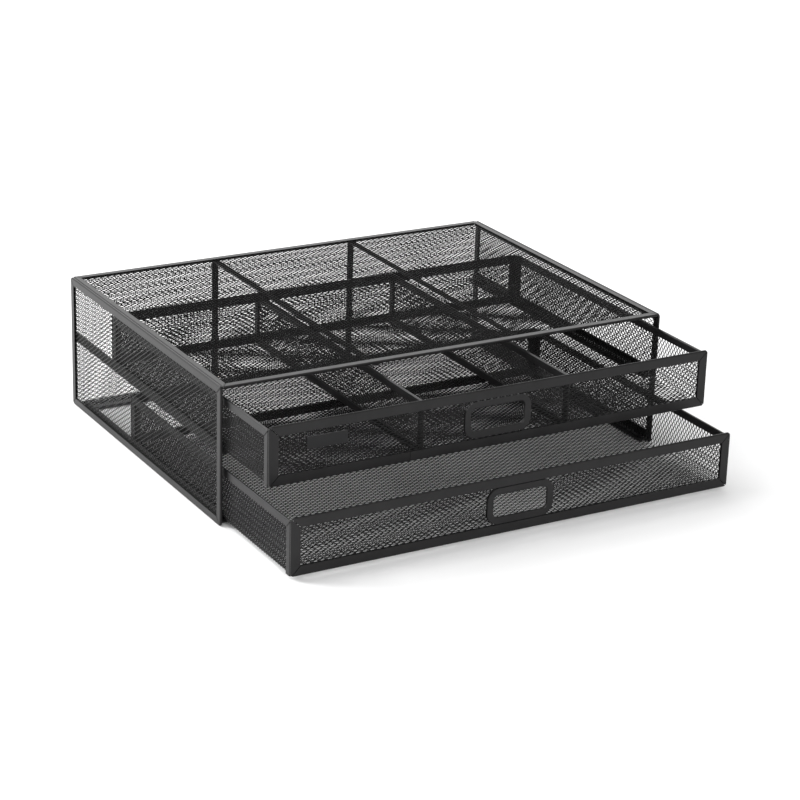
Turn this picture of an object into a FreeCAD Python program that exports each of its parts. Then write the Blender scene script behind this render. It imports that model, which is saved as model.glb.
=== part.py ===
import FreeCAD, Part
import os

os.makedirs("parts", exist_ok=True)

# Two-drawer desk organizer: expanded-steel sheets held in folded steel bindings.
# Millimetres. X runs to the user's right, Y away from the user, Z up.
# Origin: bottom centre of the whole organizer with both drawers part open.

# ---- driving dimensions -------------------------------------------------------------
CASE_W = 420.0          # outside width of the case
CASE_D = 304.2          # outside depth of the case
CASE_H = 119.3          # outside height of the case
UPPER_OUT = 76.0        # how far each drawer stands out of the case as stored
LOWER_OUT = 114.8

BIND_W = 6.5            # width of the folded edge binding
BIND_T = 2.4            # thickness of the folded binding
END_BIND_W = 8.2        # the front and back panels of the drawers have a wider binding
TOP_SIDE_W = 5.0        # the strips along the sides of the top panel are narrower
LEG_T = 0.7             # thickness of each leg of the folded binding
FOLD_LIP = 1.2          # metal between the outer edge and the slot for the sheet
FOLD_R = 1.15           # rounding of the folded edge, nearly a half circle
CORNER_R = 3.0          # rounding of the panel corners
TOP_CORNER_R = 1.5      # rounding of the top panel's corners, between the side panels
MITRE_SHIFT = 0.4       # opens a fine seam at each mitred corner
SHEET_T = BIND_T - 2 * LEG_T
BUTT_GAP = 0.4          # joint where the ends of a binding strip meet

DRAWER_D = 300.8        # drawer depth, front face to back face
SIDE_X = 205.5          # outside of the drawer side walls
UPPER_FRONT = dict(width=411.1, z0=61.9, z1=111.8)
LOWER_FRONT = dict(width=411.5, z0=2.8, z1=51.6)
UPPER_FLOOR_Z = 62.0    # underside of the drawer floors
LOWER_FLOOR_Z = 2.8
UPPER_BUTT = 124.6      # joint in the bottom strip of the upper front, from its left end
RIM_DROP = 3.0          # side and back walls stop this far below the front's top
DIVIDER_X = 68.5        # centre planes of the two dividers
DIVIDER_TOP = 110.0

HANDLE_W, HANDLE_H, HANDLE_R = 62.0, 31.0, 10.5    # outside of the finger-hole ring
HANDLE_BAND = 6.0                                  # width of the ring's band
LABEL_W, LABEL_H, LABEL_T = 35.5, 10.5, 1.2
LABEL_X, LABEL_Z = -155.2, 93.7

RUNNER_T = 1.0          # drawer runner angle
RUNNER_LEG = 8.0
RUNNER_SET_BACK = 4.0   # from the front plane of the case
UPPER_RUNNER_Z = (60.3, 61.5, 69.5)     # underside of the ledge, its top, top of the upright
LOWER_RUNNER_Z = (1.2, 2.4, 11.0)
FLANGE_D = 25.0         # rear flange, the back sheet turned forward at its foot
STAY_W, STAY_T, STAY_X = 6.0, 1.2, 70.0   # bent stays under the top and down the back
STAY_SET_BACK = 1.0     # from the front plane of the case

# ---- derived positions ---------------------------------------------------------------
BACK_Y = (CASE_D + LOWER_OUT) / 2
CASE_Y = BACK_Y - CASE_D                # front plane of the case
INNER_X = CASE_W / 2 - BIND_T           # inside of the case side bindings
UPPER_Y = CASE_Y - UPPER_OUT            # front plane of each drawer
LOWER_Y = CASE_Y - LOWER_OUT
SHEET_BACK_Y = BACK_Y - LEG_T - SHEET_T  # inner face of the back panel sheet
FLANGE_Y = BACK_Y - FLANGE_D
TOP_Z = CASE_H - BIND_T
ALL_SIDES = ("left", "right", "bottom", "top")


def vec(x, y, z):
    return FreeCAD.Vector(x, y, z)


def block(x0, x1, y0, y1, z0, z1):
    return Part.makeBox(x1 - x0, y1 - y0, z1 - z0, vec(x0, y0, z0))


def prism(points, thickness):
    """Straight prism on a polygon in the local sheet plane."""
    wire = Part.makePolygon([vec(u, v, 0) for u, v in points + points[:1]])
    return Part.Face(wire).extrude(vec(0, 0, thickness))


def rounded_plate(length, height, radius, w0, w1, inset=0.0):
    """Rectangular plate with rounded corners, centred on the local origin."""
    half_l, half_h = length / 2 - inset, height / 2 - inset
    plate = block(-half_l, half_l, -half_h, half_h, w0, w1)
    upright = [e for e in plate.Edges if abs(e.Vertexes[0].Z - e.Vertexes[1].Z) > 1e-6]
    return plate.makeFillet(radius, upright)


def soften(solid, radius, keep):
    """Round the edges chosen by the keep test."""
    return solid.makeFillet(radius, [e for e in solid.Edges if keep(e)])


def strip_outline(side, length, height, width, side_width, sides):
    """Plan of one binding strip, mitred only where it meets a neighbour."""
    low = width if "bottom" in sides else 0.0
    high = height - width if "top" in sides else height
    left = side_width if "left" in sides else 0.0
    right = length - side_width if "right" in sides else length
    s = MITRE_SHIFT
    start, end = (s if left else 0.0), (length - s if right < length else length)
    foot, head = (s if low else 0.0), (height - s if high < height else height)
    if side == "bottom":
        return [(start, 0), (end, 0), (right - (length - end), width), (left + start, width)]
    if side == "top":
        return [(start, height), (left + start, height - width),
                (right - (length - end), height - width), (end, height)]
    if side == "left":
        return [(0, foot), (side_width, low + foot),
                (side_width, high - (height - head)), (0, head)]
    return [(length, foot), (length, head),
            (length - side_width, high - (height - head)), (length - side_width, low + foot)]


def binding(length, height, width=BIND_W, side_width=None, sides=ALL_SIDES,
            corner=CORNER_R, butt=None):
    """Folded channel strips round a sheet: one solid per side, slotted for the sheet.
    Local u runs along the length, v up the height and w through the thickness.
    The left and right strips may have their own width, and the bottom one a butt joint."""
    plate = block(0, length, 0, height, 0, BIND_T)
    rounded = []
    for e in plate.Edges:
        if abs(e.Vertexes[0].Z - e.Vertexes[1].Z) > 1e-6:
            at_left = e.Vertexes[0].X < 1e-6
            at_low = e.Vertexes[0].Y < 1e-6
            if ("left" if at_left else "right") in sides and ("bottom" if at_low else "top") in sides:
                rounded.append(e)
    if rounded:
        plate = plate.makeFillet(corner, rounded)

    def folded(e):
        low, high = e.BoundBox, e.BoundBox
        if high.ZMax - low.ZMin > 1e-6:
            return False
        if "bottom" not in sides and high.YMax < 1e-6:
            return False
        return True

    plate = soften(plate, FOLD_R, folded)
    u0 = FOLD_LIP if "left" in sides else -1.0
    u1 = length - FOLD_LIP if "right" in sides else length + 1.0
    v0 = FOLD_LIP if "bottom" in sides else -1.0
    v1 = height - FOLD_LIP if "top" in sides else height + 1.0
    plate = plate.cut(block(u0, u1, v0, v1, LEG_T, BIND_T - LEG_T))
    if butt:
        plate = plate.cut(block(butt, butt + BUTT_GAP, 0, width, 0, BIND_T))
    strips = []
    for side in sides:
        outline = strip_outline(side, length, height, width, side_width or width, sides)
        strips += plate.common(prism(outline, BIND_T)).Solids
    return strips


def sheet(length, height, sides=ALL_SIDES):
    """The expanded-metal sheet that fills the slots of a binding, as a plain plate."""
    u0 = FOLD_LIP if "left" in sides else 0.0
    u1 = length - FOLD_LIP if "right" in sides else length
    v0 = FOLD_LIP if "bottom" in sides else 0.0
    v1 = height - FOLD_LIP if "top" in sides else height
    return block(u0, u1, v0, v1, LEG_T, BIND_T - LEG_T)


def stand_facing_front(shape, x0, y0, z0):
    """Local u to +X, v to +Z, w towards the user; y0 is the face nearest the user."""
    shape = shape.copy()
    shape.Placement = FreeCAD.Placement(vec(x0, y0 + BIND_T, z0),
                                        FreeCAD.Rotation(vec(1, 0, 0), 90))
    return shape


def stand_on_left(shape, x0, y0, z0):
    """Local u to +Y, v to +Z, w to +X; x0 is the outer face of a left-hand wall."""
    shape = shape.copy()
    shape.Placement = FreeCAD.Placement(vec(x0, y0, z0),
                                        FreeCAD.Rotation(vec(1, 1, 1), 120))
    return shape


def laid_flat(shape, x0, y0, z0):
    shape = shape.copy()
    shape.translate(vec(x0, y0, z0))
    return shape


def mirrored(shape):
    return shape.mirror(vec(0, 0, 0), vec(1, 0, 0))


def write(node, solids):
    Part.makeCompound(solids).exportStep("parts/%s.step" % node)


def write_pair(node, solids):
    write(node + "_left", solids)
    write(node + "_right", [mirrored(s) for s in solids])


def angle(x_wall, levels, y0, y1):
    """Drawer runner: an L-angle with its upright on the wall and its ledge inwards."""
    ledge_low, ledge_top, upright_top = levels
    upright = block(x_wall, x_wall + RUNNER_T, y0, y1, ledge_low, upright_top)
    ledge = block(x_wall, x_wall + RUNNER_LEG, y0, y1, ledge_low, ledge_top)
    return upright.fuse(ledge).removeSplitter()


def build_case():
    write_pair("case_side_binding",
               [stand_on_left(s, -CASE_W / 2, CASE_Y, 0)
                for s in binding(CASE_D, CASE_H)])
    write_pair("case_side_mesh", [stand_on_left(sheet(CASE_D, CASE_H), -CASE_W / 2, CASE_Y, 0)])

    inner_w = 2 * INNER_X
    write("case_top_binding", [laid_flat(s, -INNER_X, CASE_Y, TOP_Z)
                               for s in binding(inner_w, CASE_D, side_width=TOP_SIDE_W,
                                                corner=TOP_CORNER_R)])
    write("case_top_mesh", [laid_flat(sheet(inner_w, CASE_D), -INNER_X, CASE_Y, TOP_Z)])

    write("case_back_mesh", [block(-INNER_X, INNER_X, SHEET_BACK_Y, SHEET_BACK_Y + SHEET_T,
                                   LEG_T, TOP_Z)])
    flange_sides = ("bottom",)
    depth = SHEET_BACK_Y - FLANGE_Y
    write("rear_flange_binding", [laid_flat(s, -INNER_X, FLANGE_Y, 0)
                                  for s in binding(inner_w, depth, sides=flange_sides)])
    write("rear_flange_mesh", [laid_flat(sheet(inner_w, depth, sides=flange_sides),
                                         -INNER_X, FLANGE_Y, 0)])

    runner_y = CASE_Y + RUNNER_SET_BACK
    write_pair("upper_runner", [angle(-INNER_X, UPPER_RUNNER_Z, runner_y, SHEET_BACK_Y)])
    write_pair("lower_runner", [angle(-INNER_X, LOWER_RUNNER_Z, runner_y, FLANGE_Y)])

    x0, x1 = -STAY_X - STAY_W / 2, -STAY_X + STAY_W / 2
    under_top = block(x0, x1, CASE_Y + STAY_SET_BACK, SHEET_BACK_Y, TOP_Z - STAY_T, TOP_Z)
    down_back = block(x0, x1, SHEET_BACK_Y - STAY_T, SHEET_BACK_Y, LEG_T + SHEET_T, TOP_Z)
    write_pair("case_stay", [under_top.fuse(down_back).removeSplitter()])


def finger_ring():
    """Folded ring that lines the finger hole, slotted round its outside for the sheet."""
    inset = HANDLE_BAND
    ring = rounded_plate(HANDLE_W, HANDLE_H, HANDLE_R, 0, BIND_T)
    ring = ring.cut(rounded_plate(HANDLE_W, HANDLE_H, HANDLE_R - inset, 0, BIND_T, inset))
    limit_u, limit_v = HANDLE_W / 2 - inset + 0.01, HANDLE_H / 2 - inset + 0.01

    def inner_edge(e):
        b = e.BoundBox
        flat = b.ZMax - b.ZMin < 1e-6
        return flat and max(abs(b.XMin), abs(b.XMax)) < limit_u and max(abs(b.YMin), abs(b.YMax)) < limit_v

    ring = soften(ring, FOLD_R, inner_edge)
    slot = block(-HANDLE_W, HANDLE_W, -HANDLE_H, HANDLE_H, LEG_T, BIND_T - LEG_T)
    return ring.cut(slot.cut(hole_lining()))


def hole_lining():
    """The part of the sheet plane that the finger ring fills."""
    inset = HANDLE_BAND - FOLD_LIP
    return rounded_plate(HANDLE_W, HANDLE_H, HANDLE_R - inset, LEG_T, BIND_T - LEG_T, inset)


def floor_sheet(y0, y1, z):
    """Drawer floor between the side sheets, notched round the upright bindings."""
    x_out, x_in = SIDE_X - LEG_T - SHEET_T, SIDE_X - BIND_T
    floor = block(-x_out, x_out, y0, y1, z, z + SHEET_T)
    for a, b in ((-x_out, -x_in), (x_in, x_out)):
        floor = floor.cut(block(a, b, y0, y0 + BIND_W, z, z + SHEET_T))
        floor = floor.cut(block(a, b, y1 - BIND_W, y1, z, z + SHEET_T))
    return floor


def build_drawer(name, front, front_y, floor_z, dividers, butt=None):
    width, z0, z1 = front["width"], front["z0"], front["z1"]
    height = z1 - z0
    mid_z = (z0 + z1) / 2
    write(name + "_front_binding",
          [stand_facing_front(s, -width / 2, front_y, z0)
           for s in binding(width, height, width=END_BIND_W, butt=butt)])
    centred = laid_flat(sheet(width, height), -width / 2, -height / 2, 0).cut(hole_lining())
    write(name + "_front_mesh", [stand_facing_front(centred, 0, front_y, mid_z)])
    write(name + "_handle_ring", [stand_facing_front(finger_ring(), 0, front_y, mid_z)])

    wall_y0, back_y = front_y + BIND_T, front_y + DRAWER_D - BIND_T
    wall_len, wall_h = back_y - wall_y0, z1 - RIM_DROP - floor_z
    open_foot = ("left", "right", "top")
    write_pair(name + "_side_binding",
               [stand_on_left(s, -SIDE_X, wall_y0, floor_z)
                for s in binding(wall_len, wall_h, sides=open_foot)])
    write_pair(name + "_side_mesh",
               [stand_on_left(sheet(wall_len, wall_h, open_foot), -SIDE_X, wall_y0, floor_z)])
    write(name + "_back_binding",
          [stand_facing_front(s, -SIDE_X, back_y, floor_z)
           for s in binding(2 * SIDE_X, wall_h, width=END_BIND_W)])
    write(name + "_back_mesh",
          [stand_facing_front(sheet(2 * SIDE_X, wall_h), -SIDE_X, back_y, floor_z)])
    write(name + "_floor_mesh", [floor_sheet(wall_y0, back_y, floor_z)])

    if dividers:
        foot_z = floor_z + SHEET_T
        tall = DIVIDER_TOP - foot_z
        x0 = -DIVIDER_X - BIND_T / 2
        write_pair(name + "_divider_binding",
                   [stand_on_left(s, x0, wall_y0, foot_z) for s in binding(wall_len, tall)])
        write_pair(name + "_divider_mesh",
                   [stand_on_left(sheet(wall_len, tall), x0, wall_y0, foot_z)])


def build_label():
    plate = rounded_plate(LABEL_W, LABEL_H, 1.0, BIND_T - LEG_T, BIND_T - LEG_T + LABEL_T)
    write("label_plate", [stand_facing_front(plate, LABEL_X, UPPER_Y, LABEL_Z)])


build_case()
build_drawer("upper", UPPER_FRONT, UPPER_Y, UPPER_FLOOR_Z, dividers=True, butt=UPPER_BUTT)
build_drawer("lower", LOWER_FRONT, LOWER_Y, LOWER_FLOOR_Z, dividers=False)
build_label()
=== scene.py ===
import math

import bpy
import numpy as np
from mathutils import Matrix, Vector


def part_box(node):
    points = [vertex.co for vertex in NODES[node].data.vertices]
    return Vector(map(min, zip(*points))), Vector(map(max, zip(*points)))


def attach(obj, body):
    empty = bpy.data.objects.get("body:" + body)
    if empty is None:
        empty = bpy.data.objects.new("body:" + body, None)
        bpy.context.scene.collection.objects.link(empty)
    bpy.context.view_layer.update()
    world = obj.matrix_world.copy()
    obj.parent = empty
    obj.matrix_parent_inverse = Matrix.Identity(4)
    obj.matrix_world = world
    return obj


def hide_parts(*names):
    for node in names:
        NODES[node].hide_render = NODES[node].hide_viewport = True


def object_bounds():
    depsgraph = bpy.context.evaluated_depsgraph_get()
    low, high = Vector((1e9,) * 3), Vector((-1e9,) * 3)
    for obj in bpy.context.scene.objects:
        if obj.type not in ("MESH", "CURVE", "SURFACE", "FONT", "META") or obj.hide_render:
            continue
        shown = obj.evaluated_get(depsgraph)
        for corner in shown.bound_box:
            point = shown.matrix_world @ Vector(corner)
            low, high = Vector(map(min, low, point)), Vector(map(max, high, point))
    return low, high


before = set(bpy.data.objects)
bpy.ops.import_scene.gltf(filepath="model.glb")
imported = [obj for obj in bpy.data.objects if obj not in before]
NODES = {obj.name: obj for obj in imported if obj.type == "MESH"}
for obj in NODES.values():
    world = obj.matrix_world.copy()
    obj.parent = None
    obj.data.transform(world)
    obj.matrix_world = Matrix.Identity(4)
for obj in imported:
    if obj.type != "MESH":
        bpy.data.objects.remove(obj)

CAD_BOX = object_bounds()
CASE, UPPER, LOWER = "case", "upper_drawer", "lower_drawer"

# ---- expanded-steel sheet, metres -----------------------------------------------------
LONG_WAY = 0.00625        # diamond length, along each row of strands
SHORT_WAY = 0.0040        # diamond height, across the rows
STRAND_W = 0.00064        # width of a strand along its tilted face
STRAND_T = 0.00052        # thickness of a strand
STRAND_TILT = math.radians(24)
FOLD_R = 0.0016           # inside of the bend between a drawer's floor and its walls
EDGE_CLEAR = 0.0005       # rows stop this far inside a sheet's cut edge
RING_COVER = 0.0030       # the finger hole's ring covers the cut strands by this much

# ---- camera and light -----------------------------------------------------------------
CAMERA_AZIMUTH, CAMERA_ELEVATION, CAMERA_ROLL = -30.26, 20.98, 1.80
CAMERA_DISTANCE = 2.118
AIM_OFFSET = Vector((0.0029, -0.0086, -0.0158))    # from the middle of the object
CAMERA_LENS = 110.64
SENSOR = 36.0
FLOOR_SIZE = 24.0
FLOOR_GAP = 0.0002        # between the object and the floor
WORLD_STRENGTH = 0.66


# ---- materials ------------------------------------------------------------------------
NOISE_RANGE = (0.3, 0.7)


class Nodes:
    """Short names for building a node material."""

    def __init__(self, name):
        self.material = bpy.data.materials.new(name)
        self.material.use_nodes = True
        self.tree = self.material.node_tree
        self.bsdf = self.tree.nodes["Principled BSDF"]
        coordinates = self.tree.nodes.new("ShaderNodeTexCoord")
        self.place = coordinates.outputs["Object"]

    def noise(self, scale, detail):
        node = self.tree.nodes.new("ShaderNodeTexNoise")
        node.inputs["Scale"].default_value = scale
        node.inputs["Detail"].default_value = detail
        node.inputs["Roughness"].default_value = 0.5
        self.tree.links.new(self.place, node.inputs["Vector"])
        return node.outputs["Fac"]

    def spread(self, value, low, high):
        """Stretches the middle of a noise's range over low to high."""
        node = self.tree.nodes.new("ShaderNodeMapRange")
        for socket, number in zip(("From Min", "From Max", "To Min", "To Max"),
                                  (*NOISE_RANGE, low, high)):
            node.inputs[socket].default_value = number
        self.tree.links.new(value, node.inputs["Value"])
        return node.outputs["Result"]

    def blend(self, factor, first, second):
        node = self.tree.nodes.new("ShaderNodeMix")
        node.data_type = "RGBA"
        self.tree.links.new(factor, node.inputs[0])
        node.inputs[6].default_value = (*first, 1.0)
        node.inputs[7].default_value = (*second, 1.0)
        return node.outputs[2]

    def bump(self, height, distance, strength, below=None):
        node = self.tree.nodes.new("ShaderNodeBump")
        node.inputs["Distance"].default_value = distance
        node.inputs["Strength"].default_value = strength
        self.tree.links.new(height, node.inputs["Height"])
        if below is not None:
            self.tree.links.new(below, node.inputs["Normal"])
        return node.outputs["Normal"]

    def join(self, value, socket):
        self.tree.links.new(value, self.bsdf.inputs[socket])

    def set(self, socket, value):
        self.bsdf.inputs[socket].default_value = value


def powder_coat(name, dark, light, rough_low, rough_high, gloss, grain=0.35):
    """Satin black powder coat: soft orange peel, fine grain and slight mottling."""
    m = Nodes(name)
    mottle = m.spread(m.noise(60.0, 4.0), 0.0, 1.0)
    m.join(m.blend(mottle, dark, light), "Base Color")
    m.join(m.spread(m.noise(900.0, 2.0), rough_low, rough_high), "Roughness")
    peel = m.bump(m.noise(700.0, 1.0), 0.00005, 0.5)
    m.join(m.bump(m.noise(4200.0, 2.0), 0.00002, grain, peel), "Normal")
    m.set("Specular IOR Level", gloss)
    return m.material


def floor_paper():
    """Plain white studio paper."""
    m = Nodes("floor_paper")
    tone = m.spread(m.noise(3.0, 2.0), 0.0, 1.0)
    m.join(m.blend(tone, (0.90, 0.90, 0.90), (0.92, 0.92, 0.92)), "Base Color")
    m.set("Roughness", 0.9)
    m.set("Specular IOR Level", 0.1)
    return m.material


BINDING = powder_coat("binding_powder_coat", (0.0055, 0.0053, 0.0055), (0.0090, 0.0087, 0.0090),
                      0.28, 0.38, gloss=0.24)
RUNNER = powder_coat("runner_powder_coat", (0.005, 0.005, 0.005), (0.009, 0.009, 0.009),
                     0.34, 0.44, gloss=0.28)
STRAND = powder_coat("expanded_steel_powder_coat", (0.003, 0.003, 0.003), (0.006, 0.006, 0.006),
                     0.16, 0.24, gloss=0.32, grain=0.2)
LABEL = powder_coat("label_plate_coat", (0.006, 0.006, 0.0065), (0.009, 0.009, 0.0095),
                    0.34, 0.42, gloss=0.20)


def give(obj, material):
    obj.data.materials.clear()
    obj.data.materials.append(material)


# ---- expanded steel -------------------------------------------------------------------
def strand_rows(u_length, v_length, keep):
    """Cross-sections of the zigzag strands of an expanded sheet.

    Rows run along u and lie side by side across v. At every half diamond a strand
    turns and shares a bond with the row above or below, so all strands keep one tilt.
    Returns (rows, steps, 4 corners, uvw) and, for each row and step, whether it is kept.
    """
    step, pitch = LONG_WAY / 2, SHORT_WAY / 2
    steps = int(u_length / step) + 1
    rows = int((v_length - pitch) / pitch) + 1
    u = (np.arange(steps) - (steps - 1) / 2) * step
    v = (np.arange(rows) - (rows - 1) / 2) * pitch
    up = np.where((np.arange(rows)[:, None] + np.arange(steps)[None]) % 2 == 0, 1.0, -1.0)
    c, s = math.cos(STRAND_TILT), math.sin(STRAND_TILT)
    half_w, half_t = STRAND_W / 2, STRAND_T / 2
    centre_v = v[:, None] + up * (pitch / 2 - half_w * c)
    centre_w = -up * half_w * s
    corners = [(-half_w, -half_t), (half_w, -half_t), (half_w, half_t), (-half_w, half_t)]
    section = np.empty((rows, steps, 4, 3))
    for k, (along, across) in enumerate(corners):
        section[:, :, k, 0] = u[None]
        section[:, :, k, 1] = centre_v + along * c - across * s
        section[:, :, k, 2] = centre_w + along * s + across * c
    return section, keep(u[None] + 0 * v[:, None], v[:, None] + 0 * u[None])


def strand_mesh(name, section, kept, shape):
    """Joins the kept cross-sections along each row into closed strands."""
    rows, steps = kept.shape
    number = np.arange(rows * steps * 4).reshape(rows, steps, 4)
    joined = kept[:, :-1] & kept[:, 1:]
    first, second = number[:, :-1][joined], number[:, 1:][joined]
    sides = [np.stack([first[:, k], first[:, (k + 1) % 4], second[:, (k + 1) % 4], second[:, k]], 1)
             for k in range(4)]
    none = np.zeros((rows, 1), bool)
    starts = np.hstack([joined, none]) & ~np.hstack([none, joined])
    ends = np.hstack([none, joined]) & ~np.hstack([joined, none])
    faces = np.concatenate(sides + [number[starts][:, ::-1], number[ends]])
    used, compact = np.unique(faces, return_inverse=True)
    compact = compact.reshape(-1, 4)
    points = shape(section.reshape(-1, 3)[used])
    corners = points[compact]
    facing = np.cross(corners[:, 2] - corners[:, 0], corners[:, 3] - corners[:, 1])
    if (facing * corners.mean(axis=1)).sum() < 0:
        compact = compact[:, ::-1]
    mesh = bpy.data.meshes.new(name)
    mesh.vertices.add(len(points))
    mesh.vertices.foreach_set("co", points.astype(np.float32).ravel())
    mesh.loops.add(compact.size)
    mesh.loops.foreach_set("vertex_index", compact.ravel().astype(np.int32))
    mesh.polygons.add(len(faces))
    mesh.polygons.foreach_set("loop_start", np.arange(0, compact.size, 4, dtype=np.int32))
    mesh.update(calc_edges=True)
    mesh.validate()
    return mesh


def place_sheet(name, mesh, body, *replaced):
    obj = bpy.data.objects.new(name, mesh)
    bpy.context.scene.collection.objects.link(obj)
    give(obj, STRAND)
    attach(obj, body)
    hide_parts(*replaced)
    return obj


def everywhere(u, v):
    return np.ones(u.shape, bool)


def flat_sheet(node, body, long_axis, short_axis, keep=everywhere, flip=False):
    """An expanded sheet where the CAD has a plain plate, its diamonds long along long_axis.

    flip turns the sheet over, so its strands tilt the other way.
    """
    low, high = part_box(node)
    centre = np.array((low + high) / 2)
    size = np.array(high - low)
    normal_axis = 3 - long_axis - short_axis
    section, kept = strand_rows(size[long_axis], size[short_axis], keep)

    def shape(points):
        out = np.tile(centre, (len(points), 1))
        out[:, long_axis] += points[:, 0]
        out[:, short_axis] += points[:, 1]
        out[:, normal_axis] += points[:, 2] * (-1 if flip else 1)
        return out

    return place_sheet(node + "_expanded", strand_mesh(node, section, kept, shape), body, node)


def clear_of_finger_hole(ring_node, sheet_node):
    """Says which strands of a drawer front are clear of the opening that its ring lines."""
    low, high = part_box(ring_node)
    hole_u = (high.x - low.x) / 2 - RING_COVER
    hole_v = (high.z - low.z) / 2 - RING_COVER
    sheet_low, sheet_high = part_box(sheet_node)
    offset = (sheet_low.z + sheet_high.z) / 2 - (low.z + high.z) / 2
    return lambda u, v: (np.abs(u) > hole_u) | (np.abs(v + offset) > hole_v)


def drawer_tray(name, body):
    """Floor and side walls of a drawer: one expanded sheet folded up along both sides."""
    wall_low, wall_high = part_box(name + "_side_mesh_right")
    floor_low, floor_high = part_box(name + "_floor_mesh")
    wall_x = (wall_low.x + wall_high.x) / 2
    floor_z = (floor_low.z + floor_high.z) / 2
    y_middle = (floor_low.y + floor_high.y) / 2
    half_flat = wall_x - FOLD_R
    bend = FOLD_R * math.pi / 2
    upright = wall_high.z - floor_z - FOLD_R
    half_path = half_flat + bend + upright
    section, kept = strand_rows(2 * half_path, floor_high.y - floor_low.y - 2 * EDGE_CLEAR, everywhere)

    def shape(points):
        along = np.abs(points[:, 0])
        side = np.where(points[:, 0] < 0, -1.0, 1.0)
        angle = np.clip((along - half_flat) / FOLD_R, 0, math.pi / 2)
        rise = np.maximum(along - half_flat - bend, 0)
        radius = FOLD_R + points[:, 2]
        x = np.minimum(along, half_flat) + radius * np.sin(angle)
        z = floor_z + FOLD_R - radius * np.cos(angle) + rise
        return np.stack([side * x, y_middle + points[:, 1], z], 1)

    mesh = strand_mesh(name + "_tray", section, kept, shape)
    return place_sheet(name + "_tray_expanded", mesh, body,
                       name + "_floor_mesh", name + "_side_mesh_left", name + "_side_mesh_right")


X, Y, Z = 0, 1, 2
for hand in ("left", "right"):
    flat_sheet("case_side_mesh_" + hand, CASE, Y, Z, flip=hand == "left")
    flat_sheet("upper_divider_mesh_" + hand, UPPER, Y, Z)
flat_sheet("case_top_mesh", CASE, X, Y, flip=True)
flat_sheet("case_back_mesh", CASE, X, Z)
flat_sheet("rear_flange_mesh", CASE, X, Y)
for name, body in (("upper", UPPER), ("lower", LOWER)):
    flat_sheet(name + "_front_mesh", body, X, Z,
               keep=clear_of_finger_hole(name + "_handle_ring", name + "_front_mesh"))
    flat_sheet(name + "_back_mesh", body, X, Z)
    drawer_tray(name, body)

for node, obj in NODES.items():
    if "runner" in node or "stay" in node:
        give(obj, RUNNER)
    elif node == "label_plate":
        give(obj, LABEL)
    else:
        give(obj, BINDING)


# ---- floor, light and camera ----------------------------------------------------------
def add_floor(size):
    half = size / 2
    mesh = bpy.data.meshes.new("floor")
    mesh.from_pydata([(-half, -half, 0), (half, -half, 0), (half, half, 0), (-half, half, 0)], [],
                     [(0, 1, 2, 3)])
    floor = bpy.data.objects.new("floor", mesh)
    bpy.context.scene.collection.objects.link(floor)
    floor.location.z = CAD_BOX[0][2] - FLOOR_GAP
    give(floor, floor_paper())


def add_area_light(name, azimuth, elevation, distance, size, power):
    """A rectangular soft light on the given bearing, aimed at the object."""
    data = bpy.data.lights.new(name, "AREA")
    data.shape = "RECTANGLE"
    data.size, data.size_y = size
    data.energy = power
    light = bpy.data.objects.new(name, data)
    bpy.context.scene.collection.objects.link(light)
    a, e = math.radians(azimuth), math.radians(elevation)
    back = Vector((math.sin(a) * math.cos(e), -math.cos(a) * math.cos(e), math.sin(e)))
    light.location = back * distance
    light.rotation_euler = back.to_track_quat("Z", "Y").to_euler()


def add_camera():
    data = bpy.data.cameras.new("camera")
    data.lens, data.sensor_width = CAMERA_LENS, SENSOR
    camera = bpy.data.objects.new("camera", data)
    bpy.context.scene.collection.objects.link(camera)
    a, e, r = (math.radians(v) for v in (CAMERA_AZIMUTH, CAMERA_ELEVATION, CAMERA_ROLL))
    forward = Vector((-math.sin(a) * math.cos(e), math.cos(a) * math.cos(e), -math.sin(e)))
    level = forward.cross(Vector((0, 0, 1))).normalized()
    upright = level.cross(forward)
    right = math.cos(r) * level + math.sin(r) * upright
    up = math.cos(r) * upright - math.sin(r) * level
    place = (Vector(CAD_BOX[0]) + Vector(CAD_BOX[1])) / 2 + AIM_OFFSET - forward * CAMERA_DISTANCE
    camera.matrix_world = Matrix.Translation(place) @ Matrix(
        (right, up, -forward)).transposed().to_4x4()
    bpy.context.scene.camera = camera


def set_world(strength):
    world = bpy.data.worlds.new("studio")
    world.use_nodes = True
    background = world.node_tree.nodes["Background"]
    background.inputs["Color"].default_value = (1.0, 1.0, 1.0, 1.0)
    background.inputs["Strength"].default_value = strength
    bpy.context.scene.world = world


add_floor(FLOOR_SIZE)
add_area_light("top_softbox", -150, 48, 3.0, (3.0, 2.4), 75)
add_area_light("left_softbox", -125, 24, 2.4, (0.8, 0.6), 40)
add_area_light("back_softbox", 150, 24, 2.6, (2.6, 1.4), 14)
add_area_light("front_softbox", -8, 21, 2.6, (0.6, 0.5), 34)
add_camera()
set_world(WORLD_STRENGTH)
bpy.context.scene.view_settings.view_transform = "Standard"
bpy.context.scene.view_settings.look = "None"
